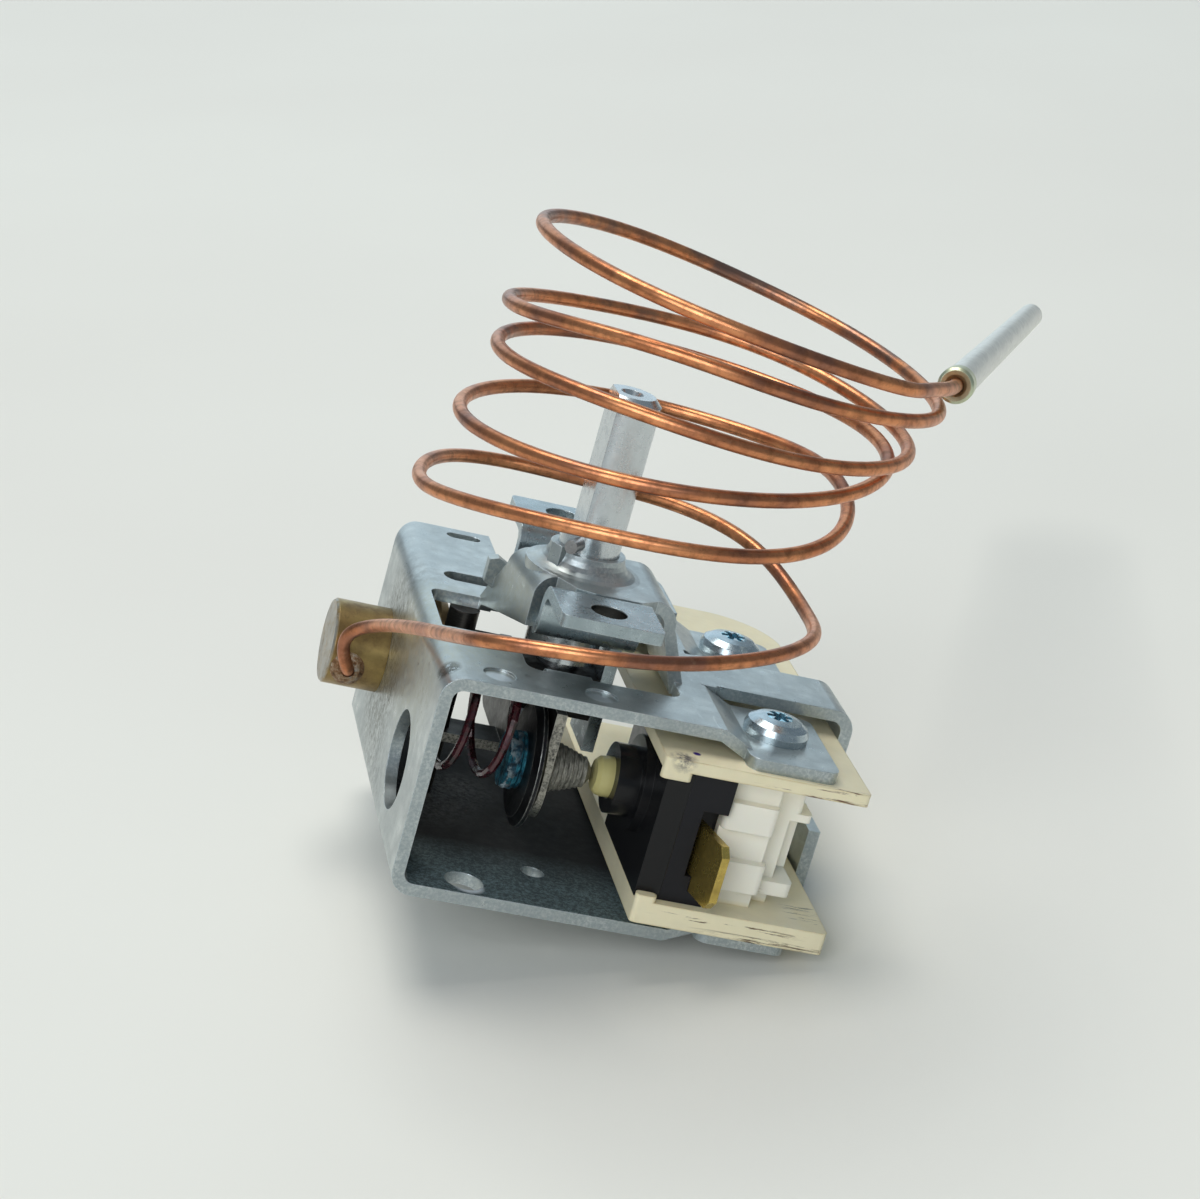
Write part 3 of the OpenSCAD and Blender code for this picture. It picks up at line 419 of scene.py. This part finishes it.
# Painted shade on the inner lower plate, darker towards the back, and a painted reflection on the inner
# left wall: the side a face looks to and its limits, colour and noise limits
LOWER_PLATE = (("Z",), ("Z", -29.4, -27.6), ("X", -13, 15))
LEFT_WALL = (("X",), ("X", -12.9, -11.0), ("Z", -30, -9.8))
FRAME_PAINTED_SHADE_AND_REFLECTION = [
    (LOWER_PLATE, (0.072, 0.100, 0.104), 0.46, 0.58),
    (LOWER_PLATE + (("Y", -8, 30, 4),), BLACK, 0.50, 0.90),
    (LEFT_WALL, (0.24, 0.25, 0.25), 0.40, 0.66)]
# Painted shade: a dark disc at a hole in the strap, so that the hole reads dark
STRAP_HOLE_PAINTED_SHADE = [((0.0, -14.0, -0.6), 1.80, 0.05, (0.03, 0.03, 0.028), *ALL_OVER)]
# Painted sparkles in the recesses of the carrier screws: place and radius
SCREW_PAINTED_SPARKLES = (((19.4, -11.3, -7.9), 1.25), ((19.4, 10.1, -7.9), 1.25))
# The carrier's middle, painted paler as painted light on its front, and its blots and streaks with the
# limits they stay in
CARRIER_PAINTED_LIGHT = (("X", 14.6, 25.2, 0.4), ("Z", -24.9, -12.4, 0.3), ("Y", -20, 20))
RIM_FRONT = ("Y", -19.5, -18.7)
CARRIER_MARKS = [
    ("blot", ((10.9, -17.0, -10.7), 0.30, 0.14), INK, *ALL_OVER),
    ("blot", ((9.4, -18.6, -10.8), 0.5, 1.0), (0.13, 0.12, 0.125), 0.40, 0.56),
    ("X", (RIM_FRONT, ("Z", -12.1, -11.5), ("X", 17.5, 27.4, 2.0)), RUST, 0.50, 0.58),
    ("X", (RIM_FRONT, ("Z", -11.1, -10.6), ("X", 22.0, 27.6, 1.0)), RUST, 0.56, 0.62),
    ("X", (RIM_FRONT, ("Z", -27.4, -26.7), ("X", 17.0, 27.6, 3.0)), (0.10, 0.05, 0.02), 0.48, 0.56),
    ("X", (RIM_FRONT, ("Z", -26.2, -25.7), ("X", 11.5, 24.0, 2.0)), (0.12, 0.065, 0.03), 0.57, 0.62),
    ("X", (("Y", -17.4, -13.5), ("Z", -25.3, -24.9), ("X", 24.3, 27.2, 0.6)), (0.03, 0.028, 0.018),
     0.56, 0.61),
    ("X", (("Y", -19.0, -14.0), ("Z", -24.0, -23.4), ("X", 15.0, 25.0, 1.0)), (0.12, 0.06, 0.025),
     0.58, 0.63),
    ("Z", (("X", 27.2, 27.8), ("Z", -27.4, -25.0), ("Y", -19.5, -15.0, 1.5)), (0.22, 0.15, 0.08),
     0.60, 0.70)]

looks = {
    "frame": galvanised("galvanised sheet", (0.63, 0.67, 0.665), (0.43, 0.47, 0.475),
                        marks=FRAME_BLOTS_AND_PAINTED_LIGHT, shades=FRAME_PAINTED_SHADE_AND_REFLECTION, rim=(0.34, 0.39, 0.41)),
    "mounting_strap": galvanised("strap sheet", (0.52, 0.60, 0.635), (0.32, 0.385, 0.41), (0.20, 0.38),
                                 marks=STRAP_HOLE_PAINTED_SHADE),
    "spindle_bush": turned("bush steel", (0.46, 0.48, 0.49), (0.28, 0.30, 0.31)),
    "spindle": turned("spindle steel", (0.62, 0.66, 0.68), (0.56, 0.60, 0.62), 0.22, (1.2, 1.2, 0.25),
                      soil=0.12),
    "stop_pin": turned("pin steel", (0.40, 0.40, 0.40), (0.26, 0.26, 0.26)),
    "setting_nut": turned("nut steel", (0.07, 0.065, 0.06), (0.03, 0.028, 0.026), 0.5),
    # The bright edge colours here and on the seat are worn edges and partly painted highlight
    "rocker": galvanised("rocker steel", (0.12, 0.12, 0.115), (0.05, 0.05, 0.048), (0.30, 0.50),
                         edge=(0.55, 0.54, 0.49), rim=(0.38, 0.365, 0.32)),
    "pivot_pin": turned("pivot steel", (0.12, 0.115, 0.11), (0.06, 0.055, 0.05)),
    "adjusting_screw": screw_look(),
    "spring_seat": galvanised("seat steel", (0.032, 0.033, 0.036), (0.012, 0.012, 0.014), (0.30, 0.50),
                              edge=(0.42, 0.42, 0.40)),
    "return_spring": spring_look(),
    "carrier_screws": turned("bright zinc", (0.52, 0.60, 0.645), (0.40, 0.475, 0.52), 0.22,
                             (0.6, 0.6, 1.4), soil=0.05, painted_sparkles=SCREW_PAINTED_SPARKLES),
    "push_pin": turned("push steel", (0.46, 0.46, 0.46), (0.3, 0.3, 0.3)),
    "solder_joint": solder("solder"),
    "capillary_tube": copper("copper tube"),
    "capsule_head": brass("brass head", (0.36, 0.25, 0.095), (0.19, 0.125, 0.055),
                          tin=("X", -19.0, -19.25, (0.40, 0.38, 0.34))),
    "capsule_body": brass("brass capsule", (0.40, 0.28, 0.15), (0.24, 0.16, 0.085)),
    "front_terminal": brass("blade brass", (0.66, 0.49, 0.13), (0.43, 0.31, 0.085), rough=0.26),
    "rear_terminal": brass("blade brass rear", (0.62, 0.46, 0.15), (0.40, 0.28, 0.09), rough=0.3),
    "contact_blade": brass("contact strip", (0.56, 0.40, 0.2), (0.4, 0.28, 0.13)),
    "bulb_cap": brass("bulb cap brass", (0.64, 0.68, 0.50), (0.40, 0.40, 0.26)),
    "sensing_bulb": turned("bulb steel", (0.86, 0.86, 0.82), (0.68, 0.68, 0.65), 0.34, (0.5, 0.2, 3),
                           soil=0.2),
    "switch_carrier": plastic("ivory moulding", (0.87, 0.785, 0.545), DARK, 0.10, 0.42, 0.16, glow=0.12,
                              zones=[(CARRIER_PAINTED_LIGHT, (0.92, 0.885, 0.78))], marks=CARRIER_MARKS,
                              aged=(0.66, 0.52, 0.27)),
    "switch_cover": plastic("black cover", (0.009, 0.009, 0.010), (0.10, 0.09, 0.08), 0.06, 0.22, 0.12,
                            shine=0.26),
    "switch_housing": plastic("black housing", (0.011, 0.011, 0.014), (0.16, 0.14, 0.12), 0.3, 0.34, 0.12,
                              shine=0.22),
    "plunger": plastic("cream plunger", (0.56, 0.50, 0.215), (0.26, 0.20, 0.07), 0.4, 0.32, 0.1,
                       glow=0.10),
}

# Hard and soft edges of the CAD pieces
# A flat is broad when its area is more than this width, in millimetres, times its own diagonal
FLAT_WIDTH = 0.75
SAME_PLANE = 0.99995
ROUND = ("return_spring", "capillary_tube")
ROUND_ANGLE, BENT_ANGLE = 62, 32


def flat_groups(bm):
    """Coplanar faces as groups, and whether each group is a broad flat."""
    group, broad = {}, []
    for seed in bm.faces:
        if seed.index in group:
            continue
        group[seed.index] = len(broad)
        stack, members = [seed], []
        while stack:
            face = stack.pop()
            members.append(face)
            for edge in face.edges:
                for other in edge.link_faces:
                    if other.index not in group and other.normal.dot(seed.normal) > SAME_PLANE:
                        group[other.index] = len(broad)
                        stack.append(other)
        corners = [v.co for face in members for v in face.verts]
        span = Vector([max(c[i] for c in corners) - min(c[i] for c in corners) for i in range(3)]).length
        broad.append(sum(face.calc_area() for face in members) > FLAT_WIDTH * MM * span)
    return group, broad


def crisp(obj, angle):
    """Hard edges, with each broad flat shaded flat up to the bend it runs into."""
    obj.data.set_sharp_from_angle(angle=math.radians(angle))
    bm = bmesh.new()
    bm.from_mesh(obj.data)
    bm.faces.ensure_lookup_table()
    group, broad = flat_groups(bm)
    for edge in bm.edges:
        sides = {group[face.index] for face in edge.link_faces}
        if len(sides) == 2 and any(broad[g] for g in sides):
            obj.data.edges[edge.index].use_edge_sharp = True
    bm.free()


for name, obj in NODES.items():
    obj.data.materials.clear()
    obj.data.materials.append(looks[name])
    if name in ROUND:
        obj.data.set_sharp_from_angle(angle=math.radians(ROUND_ANGLE))
    else:
        crisp(obj, BENT_ANGLE)


# Fine capillary tube, on the route of part.scad
LEAD = [(-17.3, 12.4, -19.7), (-17.3, 11.5, -19.7), (-18.1, 10.9, -18.2), (-18.6, 10.6, -16.6),
        (-18.3, 10.1, -15.1), (-17.2, 8.8, -13.8), (-16.2, 4.5, -11.8), (-16.1, -3, -9), (-15.7, -10, -6.5),
        (-15.3, -18, -3.8), (-14.6, -25.5, -1.2)]
# The coil's stations: angle from the left round by the front, radius and height. They weren't chosen
# by hand. A scratch script fitted them to points picked in the photograph, and rounded them.
TURNS = [(180, 21.5, -4), (240, 21, 1), (270, 21, 2.5), (300, 20.5, 3.5), (330, 20.5, 4), (360, 19.5, 3.5),
         (390, 18.5, 6), (420, 18.5, 6.5), (450, 19.5, 6), (480, 21, 6.5), (510, 19.5, 7.5), (540, 19, 8),
         (600, 18.5, 11.5), (660, 20.5, 13.5), (720, 17.5, 16.5), (780, 17.5, 15.5), (840, 18, 15),
         (900, 18.5, 15), (960, 19, 16.5), (1020, 19.5, 18.5), (1080, 19.5, 20.5), (1140, 18.5, 20.5),
         (1200, 17.5, 21), (1260, 18, 21.5), (1320, 18.5, 22.5), (1380, 19, 21.5), (1440, 20, 21.5),
         (1500, 19.5, 23), (1560, 19.5, 23.5), (1620, 19, 25.5), (1680, 18, 28), (1740, 19, 26.5),
         (1800, 20.5, 25.5), (1860, 21.5, 27.5), (1920, 20.5, 31), (1980, 19, 32.5), (2040, 19.5, 32),
         (2100, 19, 29.5), (2160, 19, 26)]
# The coil's centre drifts from left to right
COIL_LEFT, COIL_RIGHT, COIL_Y = -2, 5, -13
COIL_START, COIL_SWEEP = TURNS[0][0], TURNS[-1][0] - TURNS[0][0]
# Degrees between points of the coil, in the source and here
COIL_STEP, FINE_STEP = 10, 2.5
# Source points of the coil that shape each join, and points drawn between two listed ones
JOIN_SPAN = 6
JOIN_POINTS = 10
EASE_REACH, EASE_PASSES = 4, 2
TUBE_R = 0.65
TUBE_SIDES = 20
BULB_START = Vector((24, -17, 28.1))
AZIMUTH, DIP = math.radians(67), math.radians(5.7)
BULB_DIR = Vector((math.cos(DIP) * math.cos(AZIMUTH), math.cos(DIP) * math.sin(AZIMUTH), -math.sin(DIP)))
BEFORE_CAP, INSIDE_CAP = 1.5, 1.35
TAIL = [Vector((18.6, -25.4, 29.0)), Vector((21.4, -21.9, 28.6)), BULB_START - BEFORE_CAP * BULB_DIR,
        BULB_START + INSIDE_CAP * BULB_DIR]


def along(pts, i, w):
    """Catmull-Rom curve through listed points."""
    a, b, c, d = (Vector(pts[max(0, min(j, len(pts) - 1))]) for j in (i - 1, i, i + 1, i + 2))
    return 0.5 * (2 * b + (c - a) * w + (2 * a - 5 * b + 4 * c - d) * w * w
                  + (3 * b - a - 3 * c + d) * w ** 3)


def coil_point(i, w):
    angle, radius, height = along(TURNS, i, w)
    a = math.radians(angle)
    centre = COIL_LEFT + (COIL_RIGHT - COIL_LEFT) * (angle - COIL_START) / COIL_SWEEP
    return Vector((centre + radius * math.cos(a), COIL_Y + radius * math.sin(a), height))


def coil_every(step):
    """Points of the coil from its second station to the last but one."""
    pts = []
    for i in range(1, len(TURNS) - 2):
        n = round((TURNS[i + 1][0] - TURNS[i][0]) / step)
        pts += [coil_point(i, k / n) for k in range(n)]
    return pts


def joined(pts, spans):
    """Points of the curve through a list, from its second point on."""
    return [along(pts, i, k / JOIN_POINTS) for i in range(1, spans + 1) for k in range(JOIN_POINTS)]


def tube_route():
    coil = coil_every(COIL_STEP)
    into_coil = LEAD + [coil[0], coil[JOIN_SPAN]]
    out_of_coil = [coil[-JOIN_SPAN], coil_point(len(TURNS) - 2, 0)] + TAIL
    return ([Vector(LEAD[0])] + joined(into_coil, len(LEAD) - 1) + coil_every(FINE_STEP)
            + joined(out_of_coil, len(TAIL)) + [TAIL[-1]])


def eased(pts, reach, passes):
    """The same route with its tight corners opened, as a hand bends a tube."""
    pts = [Vector(p) for p in pts]
    for _ in range(passes):
        last = len(pts) - 1
        fresh = []
        for i in range(len(pts)):
            k = min(reach, i, last - i)
            near = pts[i - k:i + k + 1]
            fresh.append(sum(near, Vector((0, 0, 0))) / len(near))
        pts = fresh
    return pts


def add_object(name, data):
    obj = bpy.data.objects.new(name, data)
    bpy.context.scene.collection.objects.link(obj)
    return obj


def piece(name, verts, faces, sharp=40):
    """A smooth piece, with hard edges over a sharp angle in degrees."""
    me = bpy.data.meshes.new(name)
    me.from_pydata([tuple(v) for v in verts], [], faces)
    me.update()
    me.polygons.foreach_set("use_smooth", [True] * len(me.polygons))
    me.set_sharp_from_angle(angle=math.radians(sharp))
    return add_object(name, me)


def walls(rows, around):
    """Four-sided faces between rows of points, each row a ring."""
    faces = []
    for i in range(rows):
        for j in range(around):
            k = (j + 1) % around
            faces.append((i * around + j, i * around + k, (i + 1) * around + k, (i + 1) * around + j))
    return faces


def swept(name, pts, radius, sides):
    """Round bar along pts, with the ring carried along without twist."""
    verts = []
    n = Vector((1, 0, 0))
    for i, p in enumerate(pts):
        t = (pts[min(i + 1, len(pts) - 1)] - pts[max(i - 1, 0)]).normalized()
        n = (n - n.dot(t) * t).normalized()
        b = t.cross(n)
        verts += [(p + radius * (math.cos(a) * n + math.sin(a) * b)) * MM
                  for a in (2 * math.pi * j / sides for j in range(sides))]
    faces = walls(len(pts) - 1, sides)
    faces.append(tuple(range(sides))[::-1])
    faces.append(tuple(range((len(pts) - 1) * sides, len(pts) * sides)))
    return piece(name, verts, faces)


tube = swept("capillary_fine", eased(tube_route(), EASE_REACH, EASE_PASSES), TUBE_R, TUBE_SIDES)
tube.data.materials.append(looks["capillary_tube"])
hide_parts("capillary_tube")
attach(tube, "frame")


# Lacquer on the screw's end
LINE_Y, LINE_Z = -10.0, -17.2
SEAL_X = (-4.90, -3.38)
SEAL_R = 2.45
SEAL_ROWS, SEAL_AROUND = 14, 72
# How far the left end bulges, and the thickness of the coat on average and at least
SEAL_DOME = 0.12
COAT, THINNEST = 0.28, 0.02
# The coat swells along the screw like half a wave: the share where it starts, and what is added
SWELL_START, SWELL_SPAN = 0.18, 0.9
# Waves in the coat: depth, waves round the screw, change of phase for a millimetre along it, and phase
WAVES = [(0.12, 3, 1.3, 0.0), (0.09, 7, -2.1, 1.0), (0.06, 12, 5.0, 0.0), (0.07, 2, 5.5, 0.0)]


def coat(x, a):
    """Uneven thickness of brushed lacquer, in millimetres."""
    return COAT + sum(depth * math.sin(n * a + slope * x + phase) for depth, n, slope, phase in WAVES)


def lacquer():
    verts = []
    for i in range(SEAL_ROWS + 1):
        u = i / SEAL_ROWS
        x = SEAL_X[0] + (SEAL_X[1] - SEAL_X[0]) * u
        swell = math.sin(math.pi * min(1.0, SWELL_START + SWELL_SPAN * u)) ** 0.5
        for j in range(SEAL_AROUND):
            a = 2 * math.pi * j / SEAL_AROUND
            r = SEAL_R + max(THINNEST, coat(x, a) * swell)
            verts.append(Vector((x, LINE_Y + r * math.cos(a), LINE_Z + r * math.sin(a))) * MM)
    faces = walls(SEAL_ROWS, SEAL_AROUND)
    first, last = len(verts), len(verts) + 1
    verts.append(Vector((SEAL_X[0] - SEAL_DOME, LINE_Y, LINE_Z)) * MM)
    verts.append(Vector((SEAL_X[1], LINE_Y, LINE_Z)) * MM)
    for j in range(SEAL_AROUND):
        k = (j + 1) % SEAL_AROUND
        faces.append((first, k, j))
        faces.append((last, SEAL_ROWS * SEAL_AROUND + j, SEAL_ROWS * SEAL_AROUND + k))
    seal = piece("screw_seal", verts, faces, sharp=70)
    seal.data.materials.append(seal_look())
    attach(seal, "rocker")


lacquer()


# Camera, solved from the photograph
CAM = Vector((-65.8, -265.0, 80.2)) * MM
FORWARD = Vector((0.2385, 0.9261, -0.2923)).normalized()
ABOVE = Vector((-0.1966, 0.3408, 0.9194))
RIGHT = FORWARD.cross(ABOVE).normalized()
UP = RIGHT.cross(FORWARD).normalized()
SENSOR, LENS = 36.0, 90.0
NEAREST, FARTHEST = 0.01, 20.0

# The floor's own directions, from how far the camera looks down on it, and the point it passes
PITCH = math.radians(22)
LEVEL = (math.cos(PITCH) * UP - math.sin(PITCH) * FORWARD).normalized()
SIDE = LEVEL.cross(Vector((0, 1, 0))).normalized()
AHEAD = SIDE.cross(LEVEL).normalized() * -1.0
LOW_CORNER = Vector((27.6, -19.2, -27.3)) * MM
FLOOR_DROP = 1.6 * MM
TOUCH = LOW_CORNER - FLOOR_DROP * LEVEL
FLOOR_HALF = 3.0

LAMP_AIM = Vector((0, 0, 0.005))
LAMP_DISTANCE = 1.5
SKY = (0.74, 0.89, 1.0, 1.0)
SKY_STRENGTH = 0.27
BACKDROP = (0.50, 0.52, 0.52, 1.0)


def photo_camera():
    data = bpy.data.cameras.new("camera")
    data.sensor_width = SENSOR
    data.lens = LENS
    data.clip_start = NEAREST
    data.clip_end = FARTHEST
    camera = add_object("camera", data)
    turn = Matrix((RIGHT, UP, -FORWARD)).transposed()
    camera.matrix_world = Matrix.Translation(CAM) @ turn.to_4x4()
    bpy.context.scene.camera = camera


def floor_plane():
    me = bpy.data.meshes.new("floor")
    pts = [TOUCH + SIDE * sx * FLOOR_HALF + AHEAD * sy * FLOOR_HALF
           for sx, sy in ((-1, -1), (1, -1), (1, 1), (-1, 1))]
    me.from_pydata([tuple(p) for p in pts], [], [(0, 1, 2, 3)])
    obj = add_object("floor", me)
    k = Look("pale floor")
    cloud = k.noise(0.006, detail=3.0)
    col = k.mix(k.spread(cloud, 0.35, 0.65), (0.79, 0.768, 0.715), (0.815, 0.80, 0.745))
    me.materials.append(k.finish(col, 0.7, k.noise(0.4), 0.02, 0.1))


def toward(right, up, back):
    return RIGHT * right + LEVEL * up - AHEAD * back


def lamp(name, direction, size, power, colour):
    """A round lamp that shines on the part from a direction."""
    light = bpy.data.lights.new(name, "AREA")
    light.shape = "DISK"
    light.size = size
    light.energy = power
    light.color = colour
    obj = add_object(name, light)
    d = direction.normalized()
    obj.location = LAMP_AIM + d * LAMP_DISTANCE
    obj.rotation_euler = d.to_track_quat("Z", "Y").to_euler()


def surroundings():
    """A dim sky lights the part, and the camera itself sees a plain backdrop."""
    world = bpy.data.worlds.new("world")
    bpy.context.scene.world = world
    world.use_nodes = True
    tree = world.node_tree
    sky = tree.nodes["Background"]
    sky.inputs[0].default_value = SKY
    sky.inputs[1].default_value = SKY_STRENGTH
    backdrop = tree.nodes.new("ShaderNodeBackground")
    backdrop.inputs[0].default_value = BACKDROP
    seen = tree.nodes.new("ShaderNodeLightPath")
    either = tree.nodes.new("ShaderNodeMixShader")
    tree.links.new(seen.outputs["Is Camera Ray"], either.inputs[0])
    tree.links.new(sky.outputs[0], either.inputs[1])
    tree.links.new(backdrop.outputs[0], either.inputs[2])
    tree.links.new(either.outputs[0], tree.nodes["World Output"].inputs["Surface"])


photo_camera()
floor_plane()
lamp("key", toward(-0.08, 1.0, 0.22), 0.95, 12.8, (1.0, 0.99, 0.94))
lamp("fill", toward(-0.50, 0.60, -1.0), 1.0, 10.3, (0.93, 0.97, 1.0))
lamp("wall", toward(0.05, 0.42, 1.0), 1.4, 3.8, (0.74, 0.90, 1.0))
surroundings()
bpy.context.scene.view_settings.view_transform = "Standard"
